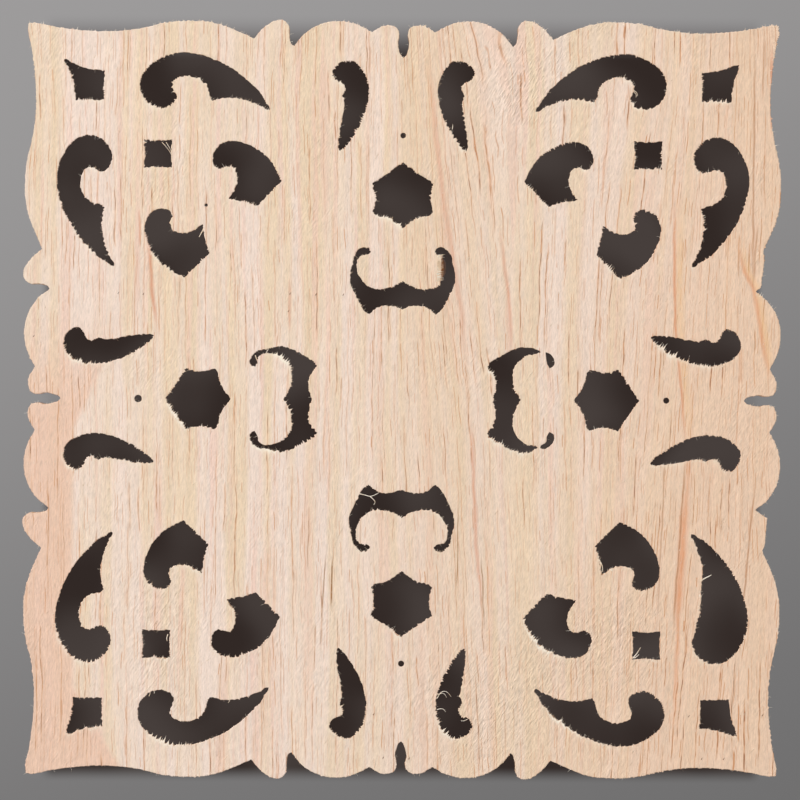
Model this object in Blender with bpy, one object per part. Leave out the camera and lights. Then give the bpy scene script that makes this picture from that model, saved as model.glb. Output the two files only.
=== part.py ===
"""Pierced square applique, sawn from one thin board of pale wood.

The panel stands upright as it is fixed to a door or a wall: X to the right, Z up,
the face that shows towards -Y and the glue face in the plane y = 0, with the
origin at the middle of the glue face. The grain of the board runs up, along Z.

The ornament has the symmetry of a square. Every outline is drawn once, for the
half side to the right of the top middle, as (across, up) in millimetres from the
middle of the panel, and is then mirrored and turned to its other places.
"""
import bisect
import math

import bmesh
import bpy

MM = 0.001
THICKNESS = 6.0
FACET_TURN = math.radians(19.0)
FACET_LENGTH = 7.0
FACET_SHORTEST = 0.16
FINE_STEPS = 24
SIDES = ("top", "right", "bottom", "left")

# Outer edge, from the notch in the middle of a side to the corner of the panel.
# Each row is one smooth sweep of the saw, and rows meet at sharp cusps and nicks.
MIDDLE_NOTCH = (
    (0.0, 44.98), (0.35, 45.3), (0.55, 45.9), (0.75, 46.9), (0.58, 47.9), (0.8, 48.85), (1.5, 49.2),
    (2.4, 49.25), (3.3, 48.9),
)
BROAD_LOBE = ((4.15, 48.35), (6.0, 49.3), (8.5, 49.8), (11.0, 49.35), (13.0, 48.15), (14.0, 46.95))
SMALL_LOBE = (
    (14.4, 46.48), (14.8, 46.8), (15.08, 48.0), (15.1, 49.1), (15.9, 49.9), (17.0, 49.8), (18.4, 48.9),
    (19.15, 48.05),
)
LONG_WAVE = (
    (19.7, 47.45), (22.0, 48.5), (25.0, 49.5), (28.0, 49.75), (31.0, 49.55), (34.0, 48.85),
    (37.5, 48.37), (41.0, 48.38), (45.0, 48.75), (48.4, 49.42),
)
CORNER_APEX = 49.35

# The small lobe has broken off along the grain twice on the right side. These
# are the two ends of the break that is left in its place.
BROKEN_LOBES = {
    ("right", True): ((14.95, 47.15), (18.85, 47.6)),
    ("right", False): ((15.4, 48.1), (19.25, 47.7)),
}

# Slender comma beside the middle of each side.
SLENDER_COMMA = (
    (8.05, 40.0), (7.75, 39.1), (7.85, 38.0), (8.3, 35.6), (8.5, 33.6), (8.3, 32.72), (7.6, 33.3),
    (6.4, 35.0), (5.3, 37.1), (4.7, 39.2), (4.6, 41.0), (5.1, 42.8), (6.0, 44.05), (7.0, 44.55),
    (8.3, 44.3), (9.2, 43.4), (9.35, 42.7), (8.9, 42.1), (7.85, 41.55), (7.6, 40.9),
)

# Long scroll beside the outer edge: a pointed tail, then the round end about its tongue.
SCROLL_TAIL = ((17.6, 38.1), (18.8, 38.65), (20.3, 39.2), (22.0, 39.6), (23.8, 39.57))
SCROLL_TONGUE = (
    (25.15, 39.22), (25.5, 39.8), (25.7, 40.75), (26.4, 41.8), (27.6, 42.4), (29.0, 42.42),
    (30.1, 41.95), (30.4, 41.2), (30.1, 40.3), (29.92, 39.5),
)
SCROLL_END = (
    (30.4, 38.75), (31.8, 38.28), (33.2, 38.75), (34.3, 39.9), (34.65, 41.3), (34.2, 42.9),
    (33.0, 44.15), (31.0, 45.2), (29.0, 45.57), (26.0, 45.05), (23.0, 43.75), (20.5, 41.9),
    (18.7, 40.1),
)
# Where the tongue has split away along the grain, the wood ends like this instead.
SPLIT_TONGUE = ((25.15, 39.35), (26.0, 39.5), (27.0, 39.3), (28.0, 39.3), (29.0, 38.95))
SPLIT_TONGUES = {("right", False)}

# Inner leaf, between the squares and the star.
LEAF_BACK = (
    (16.0, 28.7), (16.7, 30.2), (18.0, 31.95), (19.6, 33.1), (21.2, 33.75), (22.9, 33.92),
    (24.3, 33.3), (25.0, 31.9), (24.8, 30.8), (24.1, 30.33), (23.2, 30.62), (22.35, 30.45),
    (21.85, 29.4), (21.95, 28.0),
)
LEAF_FOOT = ((22.95, 26.35), (21.9, 26.12), (20.4, 25.9))
LEAF_SIDE = ((19.15, 25.45), (18.2, 26.5), (17.0, 27.7))

# Small square on each diagonal, its sides bowed in a little.
SQUARE_NEAR = 30.4
SQUARE_FAR = 34.1
SQUARE_BOW = 0.15

# Corner star, one half of it: the other half is its mirror image in the diagonal.
CORNER_STAR_TIPS = {"top": 44.2, "right": 44.2, "bottom": 44.1, "left": 44.6}
CORNER_STAR_SIDE = ((43.4, 44.05), (42.3, 43.6), (41.0, 43.3), (40.0, 43.25))
CORNER_STAR_FOOT = ((39.3, 43.15), (39.32, 42.0), (39.42, 40.7))
CORNER_STAR_HEEL = (39.38, 39.38)

# Star under each side's middle, its right half.
STAR_TOP = ((0.0, 31.2), (1.0, 30.45), (2.0, 29.75), (3.0, 29.15))
STAR_SIDE = ((4.05, 28.45), (3.72, 27.5), (3.62, 26.5), (3.72, 25.6))
STAR_FOOT = ((3.98, 24.65), (3.4, 24.25), (2.3, 24.05), (1.2, 23.5), (0.5, 22.95))
STAR_BOTTOM = (0.0, 22.58)

# C scroll around the middle, its right arm, from the inner edge round the hook.
C_INNER_EDGE = ((0.0, 15.58), (1.0, 14.95), (2.2, 14.57), (3.4, 14.52), (4.5, 14.85))
C_TONGUE = ((5.3, 15.6), (5.9, 16.5), (6.05, 17.5), (6.0, 18.3), (5.5, 18.98), (4.8, 19.07))
C_HOOK_END = ((4.2, 19.4), (4.55, 19.93), (5.2, 20.0), (6.0, 19.5), (6.45, 18.7))
C_OUTER_ARM = ((6.55, 17.9), (6.85, 16.8), (6.88, 15.5), (6.4, 14.2), (5.6, 12.65), (4.9, 11.6))
C_OUTER_EDGE = ((4.4, 11.23), (3.7, 11.8), (2.7, 12.27), (1.5, 12.33), (0.6, 12.15))
C_OUTER_MIDDLE = (0.0, 11.95)
# In two copies a sliver of wood still crosses the slot at its narrowest, between
# these two heights, and parts the hook from the arm.
C_SLOT_MIDDLE = 6.3
C_SLIVERS = {("right", True): (18.2, 18.85), ("right", False): (17.85, 18.2)}
# In the top copy the front of the right tongue has chipped off, back to a line
# along the grain, and the break slopes out to the whole tongue at the glue face.
CHIP_LINE = 5.05
CHIP_REACH = 6.2
CHIP_HEIGHTS = (15.2, 18.97)

# Drilled holes: one under each notch, and one stray prick.
PINHOLE_UP = 34.75
PINHOLE_RADII = {"top": 0.35, "right": 0.38, "bottom": 0.38, "left": 0.48}
STRAY_PRICK = (-25.9, 25.5)
STRAY_PRICK_RADIUS = 0.2
PINHOLE_FACETS = 12


def place(point, side, mirrored):
    """Carry a drawn point to the same place on another side of the panel."""
    across, up = point
    if mirrored:
        across = -across
    for _ in range(SIDES.index(side)):
        across, up = up, -across
    return across, up


def placed(outline, side, mirrored=False):
    return [place(point, side, mirrored) for point in outline]


def smooth_point(before, start, end, after, share):
    """Point between start and end on a smooth curve through all four points."""
    knots = [0.0]
    for first, second in ((before, start), (start, end), (end, after)):
        knots.append(knots[-1] + math.sqrt(math.dist(first, second)))
    at = knots[1] + (knots[2] - knots[1]) * share

    def blend(first, second, low, high):
        part = (at - knots[low]) / (knots[high] - knots[low])
        return tuple(a + (b - a) * part for a, b in zip(first, second))

    leading = blend(before, start, 0, 1)
    middle = blend(start, end, 1, 2)
    trailing = blend(end, after, 2, 3)
    return blend(blend(leading, middle, 0, 2), blend(middle, trailing, 1, 3), 1, 2)


def heading(start, end):
    return math.atan2(end[1] - start[1], end[0] - start[0])


def faceted(curve):
    """Share facets out along a fine curve by how far it runs and how much it turns."""
    worth = [0.0]
    for here, now, beyond in zip(curve, curve[1:], curve[2:]):
        step = math.dist(here, now)
        turn = abs(math.remainder(heading(now, beyond) - heading(here, now), math.tau))
        worth.append(worth[-1] + min(turn / FACET_TURN, step / FACET_SHORTEST) + step / FACET_LENGTH)
    worth.append(worth[-1] + math.dist(curve[-2], curve[-1]) / FACET_LENGTH)
    count = math.ceil(worth[-1])
    return [curve[bisect.bisect_left(worth, worth[-1] * i / count)] for i in range(count)]


def sweep(run, end):
    """Facets of one smooth run through its points, up to the corner it ends in."""
    points = [*run, end]
    lead_in = tuple(2.0 * a - b for a, b in zip(points[0], points[1]))
    lead_out = tuple(2.0 * a - b for a, b in zip(points[-1], points[-2]))
    guides = [lead_in, *points, lead_out]
    fine = [
        smooth_point(*guides[i:i + 4], step / FINE_STEPS)
        for i in range(len(points) - 1)
        for step in range(FINE_STEPS)
    ]
    return faceted([*fine, end])


def open_outline(runs, end):
    """Facets of smooth runs that meet at corners, from the first point to the end."""
    outline = []
    for run, following in zip(runs, [*runs[1:], (end,)]):
        outline += sweep(run, following[0])
    return [*outline, end]


def closed_outline(*runs):
    return open_outline(runs, runs[0][0])[:-1]


def joined(right_half, left_half):
    """Close two halves that start and end in the same two points."""
    return right_half[:-1] + left_half[:0:-1]


def half_side(side, mirrored):
    """Outer edge from the middle notch of a side to its corner."""
    lobe_runs = [SMALL_LOBE]
    if (side, mirrored) in BROKEN_LOBES:
        lobe_runs = [(point,) for point in (SMALL_LOBE[0], *BROKEN_LOBES[side, mirrored])]
    runs = [MIDDLE_NOTCH, BROAD_LOBE, *lobe_runs, LONG_WAVE]
    return placed(open_outline(runs, (CORNER_APEX, CORNER_APEX)), side, mirrored)


def outer_edge():
    outline = []
    for side in SIDES:
        to_the_left = half_side(side, True)
        to_the_right = half_side(side, False)
        outline += to_the_left[:0:-1] + to_the_right[:-1]
    return outline


def long_scroll(side, mirrored):
    tongue = SPLIT_TONGUE if (side, mirrored) in SPLIT_TONGUES else SCROLL_TONGUE
    return placed(closed_outline(SCROLL_TAIL, tongue + SCROLL_END), side, mirrored)


def slender_comma(side, mirrored):
    return placed(closed_outline(SLENDER_COMMA), side, mirrored)


def inner_leaf(side, mirrored):
    return placed(closed_outline(LEAF_BACK, LEAF_FOOT, LEAF_SIDE), side, mirrored)


def small_square(side):
    middle = (SQUARE_NEAR + SQUARE_FAR) / 2
    near = SQUARE_NEAR + SQUARE_BOW
    far = SQUARE_FAR - SQUARE_BOW
    top = ((SQUARE_NEAR, SQUARE_FAR), (middle, far))
    right = ((SQUARE_FAR, SQUARE_FAR), (far, middle))
    bottom = ((SQUARE_FAR, SQUARE_NEAR), (middle, near))
    left = ((SQUARE_NEAR, SQUARE_NEAR), (near, middle))
    return placed(closed_outline(top, right, bottom, left), side)


def corner_star(side):
    tip = (CORNER_STAR_TIPS[side], CORNER_STAR_TIPS[side])
    half = open_outline(((tip, *CORNER_STAR_SIDE), CORNER_STAR_FOOT), CORNER_STAR_HEEL)
    other_half = [(up, across) for across, up in half]
    return placed(joined(half, other_half), side)


def hexagon_star(side):
    half = open_outline((STAR_TOP, STAR_SIDE, STAR_FOOT), STAR_BOTTOM)
    other_half = [(-across, up) for across, up in half]
    return placed(joined(half, other_half), side)


def c_arm(side, mirrored):
    """Outline of one arm of the C, and of its hook where a sliver parts it off."""
    if (side, mirrored) not in C_SLIVERS:
        runs = (C_INNER_EDGE + C_TONGUE, C_HOOK_END + C_OUTER_ARM, C_OUTER_EDGE)
        return placed(open_outline(runs, C_OUTER_MIDDLE), side, mirrored), []
    low, high = C_SLIVERS[side, mirrored]
    inner_wall = tuple(point for point in C_TONGUE if point[1] < low)
    outer_wall = tuple(point for point in C_OUTER_ARM if point[1] < low)
    hook_inside = tuple(point for point in C_TONGUE if point[1] > high)
    hook_outside = tuple(point for point in C_HOOK_END if point[1] > high)
    arm_end = (C_SLOT_MIDDLE, low)
    runs = (C_INNER_EDGE + inner_wall, (arm_end, *outer_wall), C_OUTER_EDGE)
    arm = open_outline(runs, C_OUTER_MIDDLE)
    hook = closed_outline(((C_SLOT_MIDDLE, high), *hook_inside), hook_outside)
    return placed(arm, side, mirrored), placed(hook, side, mirrored)


def c_scroll(side):
    arm, hook = c_arm(side, False)
    other_arm, other_hook = c_arm(side, True)
    return [outline for outline in (joined(arm, other_arm), hook, other_hook) if outline]


def pinhole(centre, radius):
    angles = [math.tau * i / PINHOLE_FACETS for i in range(PINHOLE_FACETS)]
    return [(centre[0] + radius * math.cos(a), centre[1] + radius * math.sin(a)) for a in angles]


def piercings():
    """Outlines of every hole sawn or drilled through the panel, at the glue face."""
    holes = [pinhole(STRAY_PRICK, STRAY_PRICK_RADIUS)]
    for side in SIDES:
        holes += [hexagon_star(side), small_square(side), corner_star(side)]
        holes += c_scroll(side)
        holes.append(pinhole(place((0.0, PINHOLE_UP), side, False), PINHOLE_RADII[side]))
        for mirrored in (False, True):
            holes.append(long_scroll(side, mirrored))
            holes.append(slender_comma(side, mirrored))
            holes.append(inner_leaf(side, mirrored))
    return holes


def chipped(outline):
    """Take the points of the chipped tongue back to the line of the chip."""
    low, high = CHIP_HEIGHTS
    return [
        (CHIP_LINE, up) if CHIP_LINE < across < CHIP_REACH and low < up < high else (across, up)
        for across, up in outline
    ]


def filled_face(board, outlines, depth):
    """Lay the outlines at a depth, fill the wood between them and return their rings."""
    rings = []
    edges = []
    for outline in outlines:
        ring = [board.verts.new((across * MM, -depth * MM, up * MM)) for across, up in outline]
        edges += [board.edges.new(pair) for pair in zip(ring, ring[1:] + ring[:1])]
        rings.append(ring)
    bmesh.ops.triangle_fill(board, edges=edges, use_beauty=True, normal=(0.0, 1.0, 0.0))
    return rings


def sawn_board(outlines):
    """Solid of the board: a filled back, a filled front and the sawn walls between."""
    board = bmesh.new()
    back_rings = filled_face(board, outlines, 0.0)
    front_rings = filled_face(board, [chipped(outline) for outline in outlines], THICKNESS)
    for back, front in zip(back_rings, front_rings):
        for i in range(len(back)):
            board.faces.new((back[i - 1], back[i], front[i], front[i - 1]))
    bmesh.ops.recalc_face_normals(board, faces=board.faces[:])
    mesh = bpy.data.meshes.new("pierced_panel")
    board.to_mesh(mesh)
    board.free()
    return mesh


def pale_wood():
    """Unfinished pale hardwood, cream with a pink cast, dull."""
    material = bpy.data.materials.new("pale_wood")
    material.use_nodes = True
    shader = material.node_tree.nodes["Principled BSDF"]
    shader.inputs["Base Color"].default_value = (0.79, 0.66, 0.51, 1.0)
    shader.inputs["Roughness"].default_value = 0.8
    shader.inputs["Metallic"].default_value = 0.0
    return material


def main():
    for thing in list(bpy.data.objects):
        bpy.data.objects.remove(thing, do_unlink=True)
    mesh = sawn_board([outer_edge(), *piercings()])
    mesh.materials.append(pale_wood())
    panel = bpy.data.objects.new("pierced_panel", mesh)
    bpy.context.collection.objects.link(panel)


main()
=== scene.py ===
import math

import bmesh
import bpy
import numpy as np
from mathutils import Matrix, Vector, geometry, kdtree, noise


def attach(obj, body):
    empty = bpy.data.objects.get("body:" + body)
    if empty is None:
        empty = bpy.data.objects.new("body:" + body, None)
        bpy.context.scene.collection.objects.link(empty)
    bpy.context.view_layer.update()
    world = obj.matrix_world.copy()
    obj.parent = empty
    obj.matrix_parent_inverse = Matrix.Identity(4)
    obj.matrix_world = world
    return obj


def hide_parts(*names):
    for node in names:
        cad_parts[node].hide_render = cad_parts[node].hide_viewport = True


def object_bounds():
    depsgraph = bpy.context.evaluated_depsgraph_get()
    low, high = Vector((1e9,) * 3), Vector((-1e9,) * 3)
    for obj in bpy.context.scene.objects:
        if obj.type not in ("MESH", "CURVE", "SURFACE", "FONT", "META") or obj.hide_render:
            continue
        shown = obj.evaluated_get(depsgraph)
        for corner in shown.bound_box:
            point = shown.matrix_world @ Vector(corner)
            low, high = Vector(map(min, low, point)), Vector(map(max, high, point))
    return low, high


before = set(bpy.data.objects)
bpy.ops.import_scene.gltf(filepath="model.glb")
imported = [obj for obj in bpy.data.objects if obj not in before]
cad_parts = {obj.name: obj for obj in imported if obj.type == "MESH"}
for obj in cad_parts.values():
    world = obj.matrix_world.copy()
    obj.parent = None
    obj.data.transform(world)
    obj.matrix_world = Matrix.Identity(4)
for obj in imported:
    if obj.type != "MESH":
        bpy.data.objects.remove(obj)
cad_low, cad_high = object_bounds()


# Camera. It stands far off with a long lens, square to the panel, because the sawn
# walls of even the outermost piercings show as no more than a hairline. It is rolled
# a little, so that the panel lies turned clockwise by the same amount.
MM = 0.001
FIELD_WIDTH = 105.263
FRONT_DEPTH = -6.0
LENS = 400.0
SENSOR = 36.0
NEAREST = 0.05
FARTHEST = 50.0
CAMERA_ROLL = -0.003947
CAMERA_ACROSS = -0.29
CAMERA_UP = -0.05

camera = bpy.data.objects.new("camera", bpy.data.cameras.new("camera"))
camera.data.lens = LENS
camera.data.sensor_width = SENSOR
camera.data.clip_start = NEAREST
camera.data.clip_end = FARTHEST
camera_back = FIELD_WIDTH * LENS / SENSOR - FRONT_DEPTH
camera.location = (CAMERA_ACROSS * MM, -camera_back * MM, CAMERA_UP * MM)
camera.rotation_euler = (math.pi / 2, CAMERA_ROLL, 0.0)
bpy.context.collection.objects.link(camera)
bpy.context.scene.camera = camera
bpy.context.scene.view_settings.view_transform = "Standard"


# Room. A large soft window above and to the left lights the face, a weaker one lights
# the back, and the room itself is an even grey. The floor is plain and pale.
ROOM_GREY = 0.42
FLOOR_HEIGHT = -0.3
FLOOR_SIZE = 12.0
FLOOR_GREY = 0.62
FLOOR_ROUGHNESS = 0.9
KEY_WINDOW = ("key_window", (-0.65, -0.95, 0.95), 0.35, 17.8)
BACK_WINDOW = ("back_window", (0.7, 1.3, 0.9), 0.9, 14.0)


class Wire:
    """A node's output. Sums on wires add Math nodes, and node() adds any other node."""

    def __init__(self, socket):
        self.socket = socket
        self.tree = socket.id_data

    def node(self, kind, settings=None, inputs=None, output=0):
        """Add a node, its settings first, then the values or wires of its sockets."""
        made = self.tree.nodes.new(kind)
        for name, value in (settings or {}).items():
            setattr(made, name, value)
        for name, value in (inputs or {}).items():
            if isinstance(value, Wire):
                self.tree.links.new(value.socket, made.inputs[name])
            else:
                made.inputs[name].default_value = value
        return Wire(made.outputs[output])

    def also(self, output):
        """Another output of the same node."""
        return Wire(self.socket.node.outputs[output])

    def to(self, node, name):
        self.tree.links.new(self.socket, node.inputs[name])

    def math(self, operation, *others):
        values = {i: value for i, value in enumerate((self, *others))}
        return self.node("ShaderNodeMath", {"operation": operation}, values)

    def vector(self, operation, inputs, output=0):
        return self.node("ShaderNodeVectorMath", {"operation": operation}, {0: self, **inputs}, output)

    def __add__(self, other):
        return self.math("ADD", other)

    __radd__ = __add__

    def __sub__(self, other):
        return self.math("SUBTRACT", other)

    def __rsub__(self, other):
        return self.node("ShaderNodeMath", {"operation": "SUBTRACT"}, {0: other, 1: self})

    def __mul__(self, other):
        return self.math("MULTIPLY", other)

    __rmul__ = __mul__

    def __truediv__(self, other):
        return self.math("DIVIDE", other)

    def __neg__(self):
        return self * -1.0

    def lowest(self, other):
        return self.math("MINIMUM", other)

    def highest(self, other):
        return self.math("MAXIMUM", other)

    def rise(self, low, high):
        """0 at low, 1 at high and a smooth step between, also where low is the higher."""
        inputs = {"Value": self, "From Min": low, "From Max": high}
        return self.node("ShaderNodeMapRange", {"interpolation_type": "SMOOTHSTEP"}, inputs)

    def bell(self, centre, width):
        """1 at the centre, fading smoothly on both sides."""
        away = (self - centre) / width
        return (-(away * away)).math("EXPONENT")

    def choose(self, first, second):
        """The first colour where this wire is 0, the second where it is 1."""
        inputs = {0: self, 6: first, 7: second}
        return self.node("ShaderNodeMix", {"data_type": "RGBA"}, inputs, 2)


def paint(red, green, blue):
    """Screen colour, each part from 0 to 255, as shader sockets take it."""
    parts = [part / 255.0 for part in (red, green, blue)]
    linear = [((part + 0.055) / 1.055) ** 2.4 if part > 0.04 else part / 12.92 for part in parts]
    return (*linear, 1.0)


def new_material(name):
    """A material with its Principled shader and a wire that starts its nodes."""
    material = bpy.data.materials.new(name)
    material.use_nodes = True
    start = Wire(material.node_tree.nodes.new("ShaderNodeTexCoord").outputs["Object"])
    return material, material.node_tree.nodes["Principled BSDF"], start


def flat_square(name, size, centre, turn):
    """A flat square of the room, lying down or standing up."""
    half = size / 2
    corners = [(-half, -half, 0.0), (half, -half, 0.0), (half, half, 0.0), (-half, half, 0.0)]
    mesh = bpy.data.meshes.new(name)
    mesh.from_pydata(corners, [], [(0, 1, 2, 3)])
    square = bpy.data.objects.new(name, mesh)
    square.location = centre
    square.rotation_euler = turn
    bpy.context.collection.objects.link(square)
    return square


def soft_window(name, place, size, watts):
    """A square area light that faces the panel and doesn't show itself."""
    lamp = bpy.data.lights.new(name, "AREA")
    lamp.size = size
    lamp.energy = watts
    window = bpy.data.objects.new(name, lamp)
    window.location = place
    window.rotation_euler = (-Vector(place)).to_track_quat("-Z", "Y").to_euler()
    window.visible_camera = False
    bpy.context.collection.objects.link(window)


floor = flat_square("floor", FLOOR_SIZE, (0.0, 0.0, FLOOR_HEIGHT), (0.0, 0.0, 0.0))
floor_material, floor_shader, _ = new_material("pale_floor")
floor_shader.inputs["Base Color"].default_value = (FLOOR_GREY, FLOOR_GREY, FLOOR_GREY, 1.0)
floor_shader.inputs["Roughness"].default_value = FLOOR_ROUGHNESS
floor.data.materials.append(floor_material)

world = bpy.data.worlds.new("room")
world.use_nodes = True
room_light = world.node_tree.nodes["Background"]
room_light.inputs["Color"].default_value = (ROOM_GREY, ROOM_GREY, ROOM_GREY, 1.0)
bpy.context.scene.world = world
soft_window(*KEY_WINDOW)
soft_window(*BACK_WINDOW)


# Backdrop. A plain grey board stands far behind the panel and glows with painted light, a little lighter
# towards its top and its left. A card nearer by is a painted shadow: it glows dark where the panel's shadow
# would fall on a table behind it, and so gives the piercings their shade. It is one-sided and casts no
# shadow, so it hides nothing from behind.
BACKDROP_AWAY = 2.2
BACKDROP_SIZE = 5.0
UPRIGHT = (math.pi / 2, 0.0, 0.0)
BACKDROP_HIGH = paint(158, 156, 156)
BACKDROP_LOW = paint(112, 111, 111)
BACKDROP_TILT = 0.35
BACKDROP_FADE = 0.24
CARD_AWAY = 0.17
CARD_SIZE = 0.13
CARD_LEFT = (-47.8, -45.5)
CARD_RIGHT = (47.6, 45.8)
CARD_FOOT = (-50.5, -48.2)
CARD_HEAD = (50.8, 44.6)
SLOTS_ALONG = (42.5, 44.5)
SLOTS_UP = (3.6, 2.2)
SLOTS_STRENGTH = 0.85
# Tones of the painted shadow: a dark mottle.
PAINTED_SHADOW_DARK = paint(50, 41, 38)
PAINTED_SHADOW_LIGHT = paint(71, 63, 60)
CARD_CLOUD = 14.0
CARD_CLOUD_RANGE = (0.36, 0.68)


def glowing(shader, tone):
    """Make a surface show one tone whatever light falls on it."""
    shader.inputs["Base Color"].default_value = (0.0, 0.0, 0.0, 1.0)
    shader.inputs["Specular IOR Level"].default_value = 0.0
    shader.inputs["Emission Strength"].default_value = 1.0
    tone.to(shader, "Emission Color")


backdrop = flat_square("backdrop", BACKDROP_SIZE, (0.0, BACKDROP_AWAY, 0.0), UPRIGHT)
backdrop_material, backdrop_shader, backdrop_start = new_material("grey_backdrop")
along_backdrop = backdrop_start.node("ShaderNodeSeparateXYZ", {}, {0: backdrop_start})
up_backdrop = along_backdrop.also("Y")
# Painted light: the backdrop glows lighter towards its top and its left, and darker towards its foot and its
# right.
shade = (up_backdrop - BACKDROP_TILT * along_backdrop).rise(-BACKDROP_FADE, BACKDROP_FADE)
glowing(backdrop_shader, shade.choose(BACKDROP_LOW, BACKDROP_HIGH))
backdrop.data.materials.append(backdrop_material)

shadow_card = flat_square("painted_shadow_card", CARD_SIZE, (0.0, CARD_AWAY, 0.0), UPRIGHT)
for ray in ("shadow", "diffuse", "glossy", "transmission"):
    setattr(shadow_card, "visible_" + ray, False)
shadow_card_material, shadow_card_shader, shadow_card_start = new_material("painted_shadow_card")
# The painted shadow's pattern is laid out in millimetres of the panel's front, as the camera sees the one
# behind the other. The slots leave the notches of both sides clear of the painted shadow.
card_scale = MM * (camera_back * MM + CARD_AWAY) / ((camera_back + FRONT_DEPTH) * MM)
seen = shadow_card_start.vector("SCALE", {"Scale": 1.0 / card_scale})
cloud = seen.node("ShaderNodeTexNoise", {}, {"Vector": seen, "Scale": 1.0 / CARD_CLOUD, "Detail": 1.0})
glowing(shadow_card_shader, cloud.rise(*CARD_CLOUD_RANGE).choose(PAINTED_SHADOW_DARK, PAINTED_SHADOW_LIGHT))
along_card = seen.node("ShaderNodeSeparateXYZ", {}, {0: seen})
up_card = along_card.also("Y")
# Where the painted shadow shows, fading at its edges.
painted_shadow_cover = along_card.rise(*CARD_LEFT) * along_card.rise(*CARD_RIGHT)
painted_shadow_cover = painted_shadow_cover * up_card.rise(*CARD_FOOT) * up_card.rise(*CARD_HEAD)
slots = along_card.math("ABSOLUTE").rise(*SLOTS_ALONG) * up_card.math("ABSOLUTE").rise(*SLOTS_UP)
painted_shadow_cover = painted_shadow_cover * (1.0 - SLOTS_STRENGTH * slots)
behind = seen.node("ShaderNodeNewGeometry", {}, {}, "Backfacing")
(painted_shadow_cover * (1.0 - behind)).to(shadow_card_shader, "Alpha")
shadow_card.data.materials.append(shadow_card_material)


# The panel. One thin board of pale rubberwood, sawn through with a fine blade and left
# unfinished. Edges that cross its upright fibres end in a comb of broken ends, the others
# are smooth. The piercings open a little towards the back, as the blade left them.
STEP = 0.15
CORNER_TURN = math.radians(33.0)
CURVE_SHARES = np.linspace(0.0, 1.0, 12, endpoint=False)
FACE_LEVEL = -5.94
# Levels of the sawn edge at the front: depth, how far it is drawn in, how pale it is (pale torn fibre with
# painted highlight) and how much it looks like the sawn wall.
FRONT_RINGS = ((FACE_LEVEL, 0.07, 1.0, 0.0), (-5.9, 0.02, 1.0, 0.1), (-5.8, 0.0, 0.7, 0.4))
# Levels of the wall behind it: depth, how far it is drawn in and how large its teeth are.
WALL_RINGS = ((-5.2, 0.0, 0.5), (-3.6, 0.0, 0.3), (-1.8, 0.0, 0.3), (-0.15, 0.0, 0.5), (0.0, 0.08, 0.5))
# How much pale rim and painted highlight the back edge gets, and the least that any front edge gets.
BACK_RIM = 0.3
RIM_BASE = 0.25
TOOTH_WIDTHS = ((0.3, 0.6), (0.62, 0.4))
TOOTH_MEAN = 0.24
TOOTH_TABLE = 4093
TOOTH_STRIDE = 7
RING_STRIDE = 131
LEVEL_STRIDE = 50
SAME_BELOW = 3
SERRATION = 0.5
CORNER_CALM = 0.3
CORNER_REACH = 0.5
FAR_FROM_CORNER = 10.0
FRAY_REACH = 0.52
FRAY_TURN = math.radians(57.0)
FRAYED_WAY = np.array((math.cos(FRAY_TURN), math.sin(FRAY_TURN)))
FRAY_POWER = 1.6
FRAY_LEAN = 0.45
PATCH_SIZE = (4.0, 6.0)
PATCH_MEAN = 0.85
PATCH_SWING = 0.9
PATCH_LIMITS = (0.55, 1.3)
OUTLINE_BEYOND = 48.0
OUTER_FRAY = 0.5
SMALL_RING = 12.0
# How many points on both sides the chip's shape is evened out over, so that it ends softly.
CHIP_BLUR = 2
ROOM_SEARCH = 1.6
BLADE_DRAFT = 0.3
DRAFT_SHARE = 0.25
KERF = 0.48
KERF_WANDER = 0.018
WANDER_SIZE = (1.1, 1.6)
FACE_GRID = (0.42, 1.25)
FACE_CLEAR = 0.24
FACE_RELIEF = 0.045
BACK_GRID = (0.9, 2.6)
BACK_CLEAR = 0.45
BACK_RELIEF = 0.02
GRID_SHAKE = 0.3
# Waves of the raised grain: width, length, seed and share of the relief.
RELIEF_WAVES = ((0.9, 13.0, 7.7, 0.9), (1.3, 2.6, 1.9, 0.6))
SHARP_EDGE = math.radians(28.0)
ON_FACE = 1e-5
MERGE_WITHIN = 1e-6
CLOSE_POINTS = 1e-7

chance = np.random.default_rng(27)
tooth_heights = chance.uniform(0.0, 1.0, TOOTH_TABLE)


def wood_rings(board):
    """Rings round the front face as rows of (glue face x, z, front x, z) in
    millimetres, with the wood on the left of each."""
    front = cad_low.y + ON_FACE
    back = cad_high.y - ON_FACE
    face = {f for f in board.faces if all(v.co.y < front for v in f.verts)}
    ahead = {}
    for loop in (loop for f in face for loop in f.loops):
        if not all(f in face for f in loop.edge.link_faces):
            ahead[loop.vert] = loop.link_loop_next.vert
    rings = []
    while ahead:
        first = min(ahead, key=lambda v: v.index)
        ring = [first]
        while ahead[ring[-1]] is not first:
            ring.append(ahead[ring[-1]])
        rings.append([])
        for vert in ring:
            del ahead[vert]
            partners = [e.other_vert(vert).co for e in vert.link_edges if e.other_vert(vert).co.y > back]
            under = min(partners, key=lambda co: (round(abs(co.z - vert.co.z), 6), abs(co.x - vert.co.x)))
            rings[-1].append((under.x, under.z, vert.co.x, vert.co.z))
    return [np.array(ring) / MM for ring in rings]


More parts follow.
